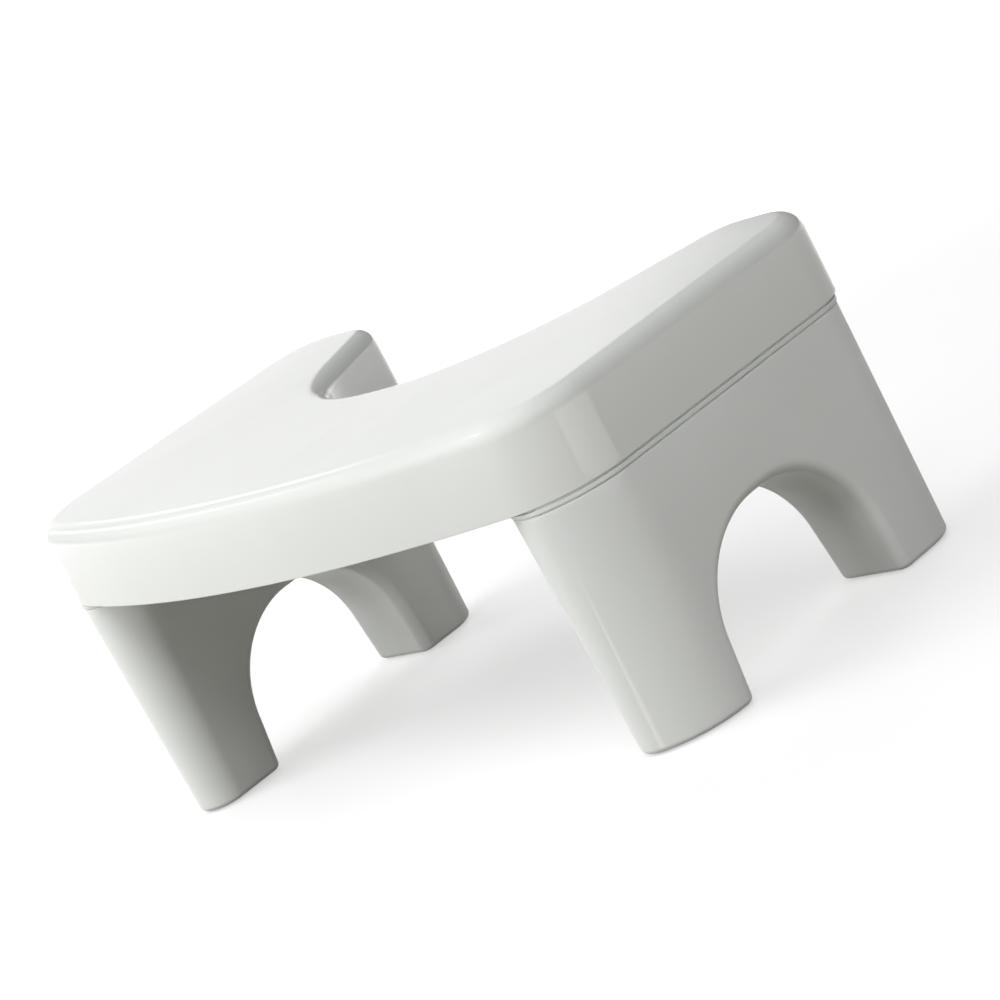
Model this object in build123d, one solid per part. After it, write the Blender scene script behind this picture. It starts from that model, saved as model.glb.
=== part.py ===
from build123d import *
import math
import os

# Toilet footstool in three mouldings: a deck with a bowed front and a wide notch behind,
# and two hollow legs, each with an arch and two feet, that plug up into the deck.
# Millimetres, +Z up, front at -Y, centre of the resting box at the origin.

# Whole stool
width = 409.0
depth = 243.0
height = 170.0

# Deck, seen from above
front_bow = 32.0
front_corner_radius = 45.0
rear_corner_radius = 33.0
middle_depth = 122.7
ear_width = 66.5
ear_corner_radius = 28.0
notch_flank_run = 60.5
notch_round_share = 0.938

# Deck, seen from the side
apron_height = 43.6
top_round = 9.5
apron_wall = 3.0
top_wall = 3.4
apron_edge_round = 0.5

# Ribs under the deck
rib_wall = 2.4
rib_drop = 18.0
cross_rib_count = 11
long_rib_count = 5

# Leg, seen from above
leg_thickness = 52.5
leg_front_inner_radius = 21.0
leg_rear_inset = 7.6
leg_rear_outer_share = 0.886
leg_rear_inner_share = 0.96

# How far each face of a leg leans in down to the floor
outer_draft = 0.7
inner_draft = 5.8
front_draft = 3.3
rear_draft = 0.4

# Leg, seen from the front
bead_height = 2.4
bead_round = 1.0
bead_proud = 0.6
groove_round = 1.2
shadow_gap = 1.0
shadow_depth = 2.0
sole_wall = 4.6
leg_wall = 3.2
edge_round = 3.0

# Arch through each leg
front_foot_setback = 72.7
rear_foot_length = 48.1
arch_height = 76.2
arch_lean = 8.2
arch_round_share = 0.94
arch_edge_round = 6.0

# Tongue round the top of each leg, and the pocket in the deck that takes it
fit_clearance = 0.3
tongue_height = 16.0
tongue_wall = 2.4
tongue_lead_in = 0.8
pocket_wall = 2.4
grip_rib_width = 2.0
grip_rib_proud = 0.25
grip_rib_span_share = 0.8
grip_rib_count = 4

# Webs across the inside of each leg
web_wall = 2.2
web_span_share = 0.9
web_count = 3
web_below_rim = 9.0

# Anti-slip pads let into the soles
pad_proud = 0.8
pad_recess = 1.6
pad_margin = 7.5
pad_corner_radius = 6.0
pad_clearance = 0.15
pad_edge_round = 0.4
tread_width = 1.6
tread_depth = 0.5
tread_pitch = 5.0
tread_count = 5

# Overrun of every cut past the faces that it opens
overrun = 5.0

# The front inner round takes at most this share of the leg's thickness
half_share = 0.49

# Levels and centres that several pieces share
seam_z = height - apron_height
sole_z = pad_proud
half_width = width / 2
front_y = -depth / 2
rear_y = depth / 2
bow_radius = (half_width**2 + front_bow**2) / (2 * front_bow)
front_corner_x = half_width - front_corner_radius
front_corner_y = (
    front_y + bow_radius - math.sqrt((bow_radius - front_corner_radius) ** 2 - front_corner_x**2)
)
rear_corner_x = half_width - rear_corner_radius
rear_corner_y = rear_y - rear_corner_radius
ear_corner_x = half_width - ear_width
notch_corner_x = ear_corner_x - notch_flank_run
notch_front_y = front_y + middle_depth
leg_rear_y = rear_y - leg_rear_inset
leg_rear_outer_radius = (rear_corner_radius - leg_rear_inset) * leg_rear_outer_share
arch_front_y = front_y + front_foot_setback
arch_rear_y = leg_rear_y - rear_foot_length
arch_centre_y = (arch_front_y + arch_rear_y) / 2
arch_foot_half_width = (arch_rear_y - arch_front_y) / 2
arch_top_half_width = arch_foot_half_width - arch_lean
tongue_inset = apron_wall + fit_clearance
tongue_top_z = seam_z + tongue_height


def rounded(face, places, radius):
    """Rounds the corners of a flat face that lie nearest the given places."""
    chosen = []
    for x, y in places:
        place = Vector(x, y, 0)
        chosen.append(min(face.vertices(), key=lambda corner: (Vector(corner) - place).length))
    return face.fillet_2d(radius, chosen)


def round_for(reach, turn):
    """Radius of a round that starts a given way before a corner where the line turns by an angle."""
    return reach / math.tan(turn / 2)


def both_sides(x, y):
    """The place given and its mirror image across the stool's middle."""
    return [(x, y), (-x, y)]


def deck_outline():
    """Plan of the deck: bowed front, straight sides, two ears and the notch between them."""
    side_front_y = front_y + front_bow
    right = [
        (half_width, side_front_y),
        (half_width, rear_y),
        (ear_corner_x, rear_y),
        (notch_corner_x, notch_front_y),
    ]
    left = [(-x, y) for x, y in reversed(right)]
    bow = ThreePointArc(left[-1], (0, front_y), right[0])
    rest = Polyline(right + left)
    face = make_face([bow, rest]).face()
    face = rounded(face, both_sides(half_width, side_front_y), front_corner_radius)
    face = rounded(face, both_sides(half_width, rear_y), rear_corner_radius)
    face = rounded(face, both_sides(ear_corner_x, rear_y), ear_corner_radius)
    turn = math.atan2(rear_y - notch_front_y, notch_flank_run)
    notch_radius = round_for(notch_corner_x * notch_round_share, turn)
    return rounded(face, both_sides(notch_corner_x, notch_front_y), notch_radius)


def leg_outline(outer, inner, front, rear):
    """Plan of the right leg, with each of its four faces drawn in by its own inset.

    Its outer rounds follow the deck's corners and then tighten, in front into the inner round.
    """
    outer_x = half_width - outer
    inner_x = half_width - leg_thickness + inner
    end_y = leg_rear_y - rear
    front_large = front_corner_radius - outer
    front_large_y = front_corner_y + front - outer
    widest = (outer_x - inner_x) * half_share
    front_small = min(leg_front_inner_radius - inner, widest)
    front_small_x = inner_x + front_small
    drop = math.sqrt((front_large - front_small) ** 2 - (front_small_x - front_corner_x) ** 2)
    front_small_y = front_large_y - drop
    front_meet = math.degrees(math.atan2(drop, front_small_x - front_corner_x))
    rear_large = rear_corner_radius - outer
    rear_small = leg_rear_outer_radius - outer
    rear_small_y = end_y - rear_small
    rise = rear_small_y - rear_corner_y
    rear_small_x = rear_corner_x + math.sqrt((rear_large - rear_small) ** 2 - rise**2)
    rear_meet = math.degrees(math.atan2(rise, rear_small_x - rear_corner_x))
    rear_in = (rear_small_x - inner_x) * leg_rear_inner_share
    edges = [
        Line((outer_x, rear_corner_y), (outer_x, front_large_y)),
        CenterArc((front_corner_x, front_large_y), front_large, 0, -front_meet),
        CenterArc((front_small_x, front_small_y), front_small, -front_meet, front_meet - 180),
        Line((inner_x, front_small_y), (inner_x, end_y - rear_in)),
        CenterArc((inner_x + rear_in, end_y - rear_in), rear_in, 180, -90),
        Line((inner_x + rear_in, end_y), (rear_small_x, end_y)),
        CenterArc((rear_small_x, rear_small_y), rear_small, 90, rear_meet - 90),
        CenterArc((rear_corner_x, rear_corner_y), rear_large, rear_meet, -rear_meet),
    ]
    return make_face(edges).face()


def head_outline(inset):
    """Plan of the right leg at the deck, drawn in evenly."""
    return leg_outline(inset, inset, inset, inset)


def foot_outline(inset):
    """Plan of the right leg at the floor, drawn in evenly from its leaning faces."""
    return leg_outline(outer_draft + inset, inner_draft + inset, front_draft + inset, rear_draft + inset)


def at_level(z, face):
    """A flat plan lifted to a height."""
    return Pos(0, 0, z) * face


def slab(face, low_z, high_z):
    """An upright solid on a plan, between two heights."""
    return extrude(at_level(low_z, face), high_z - low_z)


def arch_block(growth):
    """Solid that fills the arch of the right leg, grown by a wall all round."""
    foot = arch_foot_half_width + growth
    top = arch_top_half_width + growth
    top_z = arch_height + growth
    corners = [(-foot, 0), (-top, top_z), (top, top_z), (foot, 0)]
    face = make_face(Polyline(corners, close=True)).face()
    turn = math.atan2(arch_height, arch_lean)
    arch_radius = round_for(arch_top_half_width * arch_round_share, turn)
    face = rounded(face, both_sides(top, top_z), arch_radius + growth)
    skirt = Pos(0, -overrun / 2) * Rectangle(2 * foot, overrun)
    start_x = half_width - leg_thickness - overrun
    plane = Plane(origin=(start_x, arch_centre_y, 0), x_dir=(0, 1, 0), z_dir=(1, 0, 0))
    return extrude(plane * (face + skirt), leg_thickness + 2 * overrun)


def spaced(count, pitch):
    """Places in a row with equal steps, centred on zero."""
    return [(number - (count - 1) / 2) * pitch for number in range(count)]


def spread(count, length):
    """Places in a row over a length, from one end of it to the other, centred on zero."""
    return spaced(count, length / (count - 1))


def deck_block(outline, inset, low_z, drop):
    """Deck-shaped solid with a rounded top edge, drawn in from the sides and dropped from the top."""
    block = slab(offset(outline, -inset).face() if inset else outline, low_z, height - drop)
    return fillet(block.faces().sort_by(Axis.Z)[-1].edges(), top_round - inset)


def deck_ribs(outline):
    """Crossed stiffening ribs that hang from the underside of the deck."""
    low_z = height - top_wall - rib_drop
    inside = deck_block(outline, apron_wall / 2, low_z, top_wall / 2)
    long_pitch = depth / (long_rib_count + 1)
    grid = []
    for x in spread(cross_rib_count, width - 2 * leg_thickness):
        grid.append(Pos(x, 0, low_z + rib_drop) * Box(rib_wall, depth, 2 * rib_drop))
    for y in spaced(long_rib_count, long_pitch):
        grid.append(Pos(0, y, low_z + rib_drop) * Box(width, rib_wall, 2 * rib_drop))
    return [rib & inside for rib in grid]


def deck_pocket(outline):
    """Wall under the right end of the deck that stands round the leg's tongue."""
    inside = deck_block(outline, apron_wall / 2, seam_z, top_wall / 2)
    outside_inset = apron_wall - pocket_wall
    wall = slab(head_outline(outside_inset), seam_z, height)
    room = slab(head_outline(apron_wall), seam_z, height)
    return (wall - room) & inside


def make_deck():
    """Top board with its apron, stiffening ribs and the two pockets for the legs."""
    outline = deck_outline()
    shell = deck_block(outline, 0, seam_z, 0)
    shell = fillet(shell.faces().sort_by(Axis.Z)[0].edges(), apron_edge_round)
    hollow = deck_block(outline, apron_wall, seam_z - overrun, top_wall)
    pocket = deck_pocket(outline)
    deck = shell - hollow
    for rib in deck_ribs(outline):
        deck = deck + rib
    return deck + pocket + mirror(pocket, Plane.YZ)


def leg_webs():
    """Upright webs across the inside of the right leg, above its arch."""
    middle_x = half_width - leg_thickness / 2
    top_z = seam_z - web_below_rim
    height_each = top_z - arch_height
    block = Box(leg_thickness, web_wall, height_each)
    z = arch_height + height_each / 2
    places = spread(web_count, 2 * arch_top_half_width * web_span_share)
    return [Pos(middle_x, arch_centre_y + y, z) * block for y in places]


def grip_ribs():
    """Low upright ribs on the long sides of the tongue that take up its clearance."""
    outer_x = half_width - tongue_inset
    inner_x = half_width - leg_thickness + tongue_inset
    rib_height = tongue_height - 2 * tongue_lead_in
    rib = Box(2 * grip_rib_proud, grip_rib_width, rib_height)
    z = seam_z + rib_height / 2
    ribs = []
    middle_y = (front_corner_y + rear_corner_y) / 2
    for y in spread(grip_rib_count, (rear_corner_y - front_corner_y) * grip_rib_span_share):
        for x in (outer_x, inner_x):
            ribs.append(Pos(x, middle_y + y, z) * rib)
    return ribs


def pad_plans(gap):
    """Plans of the right leg's two foot pads, front one first, drawn in by a gap."""
    plan = foot_outline(pad_margin + gap)
    foot_y = arch_foot_half_width + pad_margin + gap
    between = Pos(0, arch_centre_y) * Rectangle(2 * width, 2 * foot_y)
    plans = []
    for face in (plan - between).faces().sort_by(Axis.Y):
        by_arch = face.vertices().sort_by(lambda corner: abs(corner.Y - arch_centre_y))[:2]
        plans.append(face.fillet_2d(pad_corner_radius, by_arch))
    return plans


def make_leg():
    """Right leg: hollow moulding with closed soles, an arch, a bead under the seam and a tongue."""
    bead_top_z = seam_z - shadow_gap
    bead_low_z = bead_top_z - bead_height
    foot = at_level(sole_z, foot_outline(bead_proud))
    head = at_level(bead_low_z, head_outline(bead_proud))
    body = loft([foot, head], ruled=True)
    body = fillet(body.faces().sort_by(Axis.Z)[-1].edges(), groove_round)
    body = body - arch_block(0)
    above_arch = arch_height + edge_round
    low_edges = body.edges().filter_by(lambda edge: edge.bounding_box().max.Z < above_arch)
    sole_edges = body.faces().group_by(Axis.Z)[0].edges()
    body = fillet(low_edges - sole_edges - low_edges.filter_by(Axis.X), arch_edge_round)
    body = fillet(body.faces().group_by(Axis.Z)[0].edges(), edge_round)
    bead = slab(head_outline(0), bead_low_z, bead_top_z)
    bead = fillet(bead.faces().sort_by(Axis.Z)[0].edges(), bead_round)
    neck = slab(head_outline(shadow_depth), bead_top_z, seam_z)
    tongue = slab(head_outline(tongue_inset), seam_z, tongue_top_z)
    tongue = chamfer(tongue.faces().sort_by(Axis.Z)[-1].edges(), tongue_lead_in)
    leg = body + bead + neck + tongue
    for rib in grip_ribs():
        leg = leg + rib
    mouth_plan = head_outline(tongue_inset + tongue_wall)
    low = at_level(sole_z + sole_wall, foot_outline(bead_proud + leg_wall))
    high = at_level(tongue_top_z, mouth_plan)
    hollow = loft([low, high], ruled=True) - arch_block(leg_wall)
    for web in leg_webs():
        hollow = hollow - web
    mouth = slab(mouth_plan, tongue_top_z, tongue_top_z + overrun)
    leg = leg - hollow - mouth
    for plan in pad_plans(0):
        leg = leg - slab(plan, sole_z - overrun, sole_z + pad_recess)
    return leg


def make_pad(plan):
    """Anti-slip pad with shallow tread grooves across its underside."""
    pad = slab(plan, 0, sole_z + pad_recess)
    pad = fillet(pad.faces().sort_by(Axis.Z)[0].edges(), pad_edge_round)
    centre = plan.center()
    for y in spaced(tread_count, tread_pitch):
        groove = Box(leg_thickness, tread_width, 2 * tread_depth)
        pad = pad - Pos(centre.X, centre.Y + y, 0) * groove
    return pad


def save(name, shape):
    """Writes one sub-part to its file."""
    shape.label = name
    export_step(shape, "parts/" + name + ".step")


os.makedirs("parts", exist_ok=True)
save("deck", make_deck())
right_leg = make_leg()
save("right_leg", right_leg)
save("left_leg", mirror(right_leg, Plane.YZ))
for end, plan in zip(("front", "rear"), pad_plans(pad_clearance)):
    right_pad = make_pad(plan)
    save("right_" + end + "_foot_pad", right_pad)
    save("left_" + end + "_foot_pad", mirror(right_pad, Plane.YZ))
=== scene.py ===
import math

import bpy
from mathutils import Matrix, Vector

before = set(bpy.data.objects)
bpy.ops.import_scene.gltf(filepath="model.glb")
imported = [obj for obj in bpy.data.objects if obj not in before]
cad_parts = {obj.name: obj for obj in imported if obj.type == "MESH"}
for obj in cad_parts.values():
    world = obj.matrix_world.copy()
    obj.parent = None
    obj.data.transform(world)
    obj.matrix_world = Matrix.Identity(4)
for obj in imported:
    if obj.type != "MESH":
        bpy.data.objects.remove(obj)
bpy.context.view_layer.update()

# Toilet footstool of three white mouldings on rubber foot pads. Metres, +Z up, front at -Y.
# A direction is (azimuth, elevation) in degrees: azimuth 0 is the stool's front, 90 its right end.

# Camera, as solved from the outline, the seam and the arches in the photograph
picture_side = 1000.0
look_at = Vector((0.0, 0.0398, 0.085))
camera_direction = (51.8761, 12.5129)
camera_roll = math.radians(-27.5320)
camera_distance = 1.928750
focal_pixels = 3923.740
centre_pixel_x = 513.104
centre_pixel_y = 498.391
sensor = 36.0

# Room: how strong its bright and its dim side are, as light on matt surfaces and as glossy ones
# mirror them, and how strong the camera sees it. The flag is a dim patch that glossy surfaces
# alone mirror, between the two lines on the deck's front edge.
room_light = (0.1, 0.07)
room_mirrored = (1.0, 0.15)
room_backdrop = 1.0
dim_side = (136.8, 0)
dim_blend = 0.055
flag_direction = (-74, 26)
flag_dark_angle = math.radians(22)
flag_edge_angle = math.radians(36)
flag_share = 0.2

# Floor: as it is seen, as it throws light back on the stool, and its glow from near to far
floor_side = 60
floor_seen = (0.6, 0.6, 0.6)
floor_bounce = (0.195, 0.185, 0.15)
floor_roughness = 0.9
floor_glow = (0.5, 1.0)
floor_fade = (0.5, 1.6)
white = (1.0, 1.0, 1.0)

# Soft boxes, which give matt light alone: name, direction, width and height, radiance
box_distance = 2.2
box_size = (1.1, 0.9)
flat_box_size = (1.1, 0.6)
soft_boxes = (
    ("front_left_box", (-35, 48), box_size, 5.4),
    ("front_low_box", (2, 14), box_size, 5.1),
    ("right_box", (60, 48), box_size, 4.2),
    ("side_low_box", (90, 18), box_size, 2.0),
    ("left_low_box", (-60, 17), box_size, 4.0),
    ("far_left_box", (-100, 18), box_size, 3.6),
    ("rear_low_box", (212, 12), flat_box_size, 6.0),
    ("left_rear_box", (-150, 40), box_size, 1.5),
)

# Strips and a spot, which give shine alone: two lines on the deck's front edge, a band on its
# near corner and a bright point between them. A strip has the point that it is seen from, its
# distance, the directions of its ends, its width and its radiance; the spot is given as a box is.
front_edge = Vector((0, -0.115, 0.168))
corner = Vector((0.2, -0.068, 0.145))
card_distance = 0.45
strip_width = 0.2
shine_strips = (
    ("rear_strip", front_edge, box_distance, ((-117, 17), (-110, 41)), strip_width, 1.5),
    ("front_strip", front_edge, box_distance, ((-98, 13), (-63, 43)), strip_width, 1.5),
    ("side_card", corner, card_distance, ((75, -5), (124, -5)), strip_width, 1.2),
)
corner_spot = ("corner_spot", (-28, 47), (0.24, 0.16), 9)

# Materials: pairs of tints and of roughnesses, and the parts of a noise that they are spread over
plastic_ior = 1.5
deck_tints = ((0.856, 0.877, 0.85), (0.874, 0.895, 0.871))
leg_tints = ((0.857, 0.88, 0.86), (0.875, 0.898, 0.88))
rubber_tints = ((0.33, 0.34, 0.34), (0.42, 0.43, 0.42))
speck_tint = (0.55, 0.53, 0.49)
speck_strength = 0.5
deck_roughness = (0.07, 0.1)
scuff_roughness = 0.04
leg_roughness = (0.36, 0.46)
rubber_roughness = (0.7, 0.85)
cloud_range = (0.35, 0.65)
patch_range = (0.3, 0.7)
speck_range = (0.8, 0.86)
hair_range = (0.6, 0.68)
worn_range = (0.5, 0.62)
hair_stretch = (1.0, 22.0, 1.0)

# Smooth shading of the mouldings
weld_distance = 0.000002
sharp_angle = math.radians(28)

scene = bpy.context.scene


def away(direction):
    """Unit vector out of the stool."""
    azimuth, elevation = (math.radians(angle) for angle in direction)
    flat = math.cos(elevation)
    return Vector((math.sin(azimuth) * flat, -math.cos(azimuth) * flat, math.sin(elevation)))


def add_camera():
    """Camera of the photograph, turned about its line of sight as the picture is."""
    back = away(camera_direction)
    right = (-back).cross(Vector((0, 0, 1))).normalized()
    up = right.cross(-back)
    turned_right = math.cos(camera_roll) * right + math.sin(camera_roll) * up
    turned_up = math.cos(camera_roll) * up - math.sin(camera_roll) * right
    data = bpy.data.cameras.new("camera")
    data.sensor_width = sensor
    data.lens = focal_pixels / picture_side * sensor
    data.shift_x = (picture_side / 2 - centre_pixel_x) / picture_side
    data.shift_y = (centre_pixel_y - picture_side / 2) / picture_side
    camera = bpy.data.objects.new("camera", data)
    scene.collection.objects.link(camera)
    turn = Matrix((turned_right, turned_up, back)).transposed().to_4x4()
    camera.matrix_world = Matrix.Translation(look_at + back * camera_distance) @ turn
    scene.camera = camera


class Nodes:
    """Adds and joins the nodes of one shader tree."""

    def __init__(self, tree):
        self.tree = tree

    def add(self, kind, **settings):
        node = self.tree.nodes.new("ShaderNode" + kind)
        for key, value in settings.items():
            setattr(node, key, value)
        return node

    def feed(self, target, value):
        """Gives an input another node's output, a colour, a vector or a number."""
        if isinstance(value, bpy.types.NodeSocket):
            self.tree.links.new(value, target)
        elif target.type == "RGBA":
            target.default_value = (*value, 1.0)
        else:
            target.default_value = value

    def maths(self, operation, a, b):
        node = self.add("Math", operation=operation)
        self.feed(node.inputs[0], a)
        self.feed(node.inputs[1], b)
        return node.outputs["Value"]

    def ranged(self, value, from_range, to_range=(0.0, 1.0)):
        """Moves a value smoothly from one range to another."""
        node = self.add("MapRange", interpolation_type="SMOOTHSTEP")
        self.feed(node.inputs["Value"], value)
        for end, from_end, to_end in zip(("Min", "Max"), from_range, to_range):
            node.inputs["From " + end].default_value = from_end
            node.inputs["To " + end].default_value = to_end
        return node.outputs["Result"]

    def mix(self, share, a, b):
        """Number between a and b by share."""
        node = self.add("Mix")
        self.feed(node.inputs["Factor"], share)
        self.feed(node.inputs["A"], a)
        self.feed(node.inputs["B"], b)
        return node.outputs["Result"]

    def mix_colours(self, share, a, b):
        """Colour between a and b by share."""
        node = self.add("Mix", data_type="RGBA")
        self.feed(node.inputs["Factor"], share)
        colours = [socket for socket in node.inputs if socket.type == "RGBA"]
        for socket, value in zip(colours, (a, b)):
            self.feed(socket, value)
        return [socket for socket in node.outputs if socket.type == "RGBA"][0]

    def ray_is(self, kind):
        return self.add("LightPath").outputs[f"Is {kind} Ray"]

    def seen_directly(self):
        """1 for camera, glossy and transmission rays."""
        mirrored = self.maths("MAXIMUM", self.ray_is("Camera"), self.ray_is("Glossy"))
        return self.maths("MAXIMUM", mirrored, self.ray_is("Transmission"))

    def towards(self, direction):
        """Cosine of the angle between a ray into the room and the direction given."""
        node = self.add("VectorMath", operation="DOT_PRODUCT")
        self.feed(node.inputs[0], self.add("TexCoord").outputs["Generated"])
        self.feed(node.inputs[1], away(direction))
        return node.outputs["Value"]


class Shading(Nodes):
    """Builds one procedural material."""

    def __init__(self, name):
        self.material = bpy.data.materials.new(name)
        self.material.use_nodes = True
        super().__init__(self.material.node_tree)
        self.surface = self.tree.nodes["Principled BSDF"].inputs
        self.place = self.add("TexCoord").outputs["Object"]
        self.normal = None

    def noise(self, size, detail=3.0, stretch=None):
        """Soft noise whose features are about size metres across."""
        place = self.place
        if stretch:
            mapping = self.add("Mapping")
            self.feed(mapping.inputs["Vector"], place)
            self.feed(mapping.inputs["Scale"], stretch)
            place = mapping.outputs["Vector"]
        node = self.add("TexNoise")
        self.feed(node.inputs["Vector"], place)
        self.feed(node.inputs["Scale"], 1 / size)
        self.feed(node.inputs["Detail"], detail)
        return node.outputs["Fac"]

    def bump(self, height, depth):
        """Adds a bump, depth in metres, over the coarser ones before it."""
        node = self.add("Bump")
        self.feed(node.inputs["Distance"], depth)
        self.feed(node.inputs["Height"], height)
        if self.normal:
            self.feed(node.inputs["Normal"], self.normal)
        self.normal = node.outputs["Normal"]
        self.feed(self.surface["Normal"], self.normal)


def deck_gloss():
    """Glossy white plastic with faint mould waviness, a few specks and hairline scuffs."""
    s = Shading("deck_gloss")
    cloud = s.ranged(s.noise(size=0.09, detail=2.0), cloud_range)
    speck = s.ranged(s.noise(size=0.0016, detail=1.0), speck_range, (0.0, speck_strength))
    tint = s.mix_colours(speck, s.mix_colours(cloud, *deck_tints), speck_tint)
    s.feed(s.surface["Base Color"], tint)
    sheen = s.ranged(s.noise(size=0.03), patch_range, deck_roughness)
    hair = s.ranged(s.noise(size=0.012, detail=2.0, stretch=hair_stretch), hair_range)
    worn = s.ranged(s.noise(size=0.05), worn_range, (0.0, scuff_roughness))
    scuff = s.maths("MULTIPLY", hair, worn)
    s.feed(s.surface["Roughness"], s.maths("ADD", sheen, scuff))
    s.feed(s.surface["IOR"], plastic_ior)
    s.bump(s.noise(size=0.06, detail=1.0), depth=0.00004)
    s.bump(s.noise(size=0.0015, detail=2.0), depth=0.000002)
    return s.material


def leg_satin():
    """Satin white plastic with a fine moulded grain."""
    s = Shading("leg_satin")
    cloud = s.ranged(s.noise(size=0.07, detail=2.0), cloud_range)
    s.feed(s.surface["Base Color"], s.mix_colours(cloud, *leg_tints))
    s.feed(s.surface["Roughness"], s.ranged(s.noise(size=0.02), patch_range, leg_roughness))
    s.feed(s.surface["IOR"], plastic_ior)
    s.bump(s.noise(size=0.05, detail=1.0), depth=0.0003)
    s.bump(s.noise(size=0.0007, detail=2.0), depth=0.00002)
    return s.material


def pad_rubber():
    """Grey anti-slip rubber, mottled and matt."""
    s = Shading("pad_rubber")
    mottle = s.ranged(s.noise(size=0.004), cloud_range)
    s.feed(s.surface["Base Color"], s.mix_colours(mottle, *rubber_tints))
    s.feed(s.surface["Roughness"], s.ranged(s.noise(size=0.002), patch_range, rubber_roughness))
    s.bump(s.noise(size=0.0009), depth=0.00008)
    return s.material


def smooth_faces(piece):
    """Welds a moulding's loose triangles and shades it smooth but for its sharp edges."""
    tree = bpy.data.node_groups.new("smooth_moulding", "GeometryNodeTree")
    for way in ("INPUT", "OUTPUT"):
        tree.interface.new_socket("Geometry", in_out=way, socket_type="NodeSocketGeometry")
    start = tree.nodes.new("NodeGroupInput")
    end = tree.nodes.new("NodeGroupOutput")
    weld = tree.nodes.new("GeometryNodeMergeByDistance")
    weld.inputs["Distance"].default_value = weld_distance
    faces = tree.nodes.new("GeometryNodeSetShadeSmooth")
    faces.domain = "FACE"
    edges = tree.nodes.new("GeometryNodeSetShadeSmooth")
    edges.domain = "EDGE"
    edges.inputs["Shade Smooth"].default_value = False
    angle = tree.nodes.new("GeometryNodeInputMeshEdgeAngle")
    sharp = tree.nodes.new("FunctionNodeCompare")
    sharp.operation = "GREATER_THAN"
    sharp.inputs["B"].default_value = sharp_angle
    links = tree.links
    links.new(start.outputs[0], weld.inputs["Geometry"])
    links.new(weld.outputs["Geometry"], faces.inputs["Geometry"])
    links.new(faces.outputs["Geometry"], edges.inputs["Geometry"])
    links.new(angle.outputs["Unsigned Angle"], sharp.inputs["A"])
    links.new(sharp.outputs["Result"], edges.inputs["Selection"])
    links.new(edges.outputs["Geometry"], end.inputs[0])
    piece.modifiers.new("smooth_moulding", "NODES").node_group = tree


def dress(material, *names):
    for name in names:
        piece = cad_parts[name]
        piece.data.materials.clear()
        piece.data.materials.append(material)
        smooth_faces(piece)


def add_floor():
    """Pale floor that keeps the stool's shadow near it and glows to white further out."""
    bpy.ops.mesh.primitive_plane_add(size=floor_side)
    floor = bpy.context.object
    floor.name = "floor"
    s = Shading("floor")
    seen = s.seen_directly()
    s.feed(s.surface["Base Color"], s.mix_colours(seen, floor_bounce, floor_seen))
    s.feed(s.surface["Roughness"], floor_roughness)
    s.feed(s.surface["Specular IOR Level"], 0.0)
    s.feed(s.surface["Emission Color"], white)
    reach = s.add("VectorMath", operation="LENGTH")
    s.feed(reach.inputs[0], s.place)
    glow = s.ranged(reach.outputs["Value"], floor_fade, floor_glow)
    s.feed(s.surface["Emission Strength"], s.maths("MULTIPLY", seen, glow))
    floor.data.materials.append(s.material)


def add_world():
    """Pale room, bright on its left and front side and dimmer towards the right rear."""
    world = bpy.data.worlds.new("studio")
    scene.world = world
    world.use_nodes = True
    s = Nodes(world.node_tree)
    right_rear = s.towards(dim_side)
    blend = (-dim_blend, dim_blend)
    light = s.ranged(right_rear, blend, room_light)
    mirrored = s.ranged(right_rear, blend, room_mirrored)
    flag_range = (math.cos(flag_edge_angle), math.cos(flag_dark_angle))
    flag = s.ranged(s.towards(flag_direction), flag_range, (1.0, flag_share))
    mirrored = s.maths("MULTIPLY", mirrored, flag)
    strength = s.mix(s.seen_directly(), light, mirrored)
    strength = s.mix(s.ray_is("Camera"), strength, room_backdrop)
    background = s.tree.nodes["Background"].inputs
    s.feed(background["Color"], white)
    s.feed(background["Strength"], strength)


def add_lamp(name, place, turn, size, radiance, gives):
    """Area lamp that gives matt light, or else shine on glossy surfaces."""
    wide, tall = size
    data = bpy.data.lights.new(name, "AREA")
    data.shape = "RECTANGLE"
    data.size = wide
    data.size_y = tall
    data.energy = radiance * math.pi * wide * tall
    lamp = bpy.data.objects.new(name, data)
    scene.collection.objects.link(lamp)
    lamp.location = place
    lamp.rotation_mode = "QUATERNION"
    lamp.rotation_quaternion = turn
    lamp.visible_camera = False
    lamp.visible_diffuse = gives == "light"
    lamp.visible_glossy = gives == "shine"


def add_box(name, direction, size, radiance, gives="light"):
    """Rectangular lamp that faces the stool."""
    outward = away(direction)
    place = look_at + outward * box_distance
    add_lamp(name, place, outward.to_track_quat("Z", "Y"), size, radiance, gives)


def add_strip(name, seen_from, distance, ends, wide, radiance):
    """Narrow lamp stretched between two directions, as seen from a point on the deck."""
    first, last = (seen_from + away(direction) * distance for direction in ends)
    long_way = (last - first).normalized()
    middle = (first + last) / 2
    facing = (middle - seen_from).normalized()
    facing = (facing - long_way * facing.dot(long_way)).normalized()
    turn = Matrix((long_way, facing.cross(long_way), facing)).transposed().to_quaternion()
    add_lamp(name, middle, turn, ((last - first).length, wide), radiance, "shine")


add_camera()
add_floor()
add_world()
for soft_box in soft_boxes:
    add_box(*soft_box)
for shine_strip in shine_strips:
    add_strip(*shine_strip)
add_box(*corner_spot, gives="shine")
dress(deck_gloss(), "deck")
dress(leg_satin(), "left_leg", "right_leg")
dress(pad_rubber(), "left_front_foot_pad", "left_rear_foot_pad",
      "right_front_foot_pad", "right_rear_foot_pad")
scene.view_settings.view_transform = "Standard"
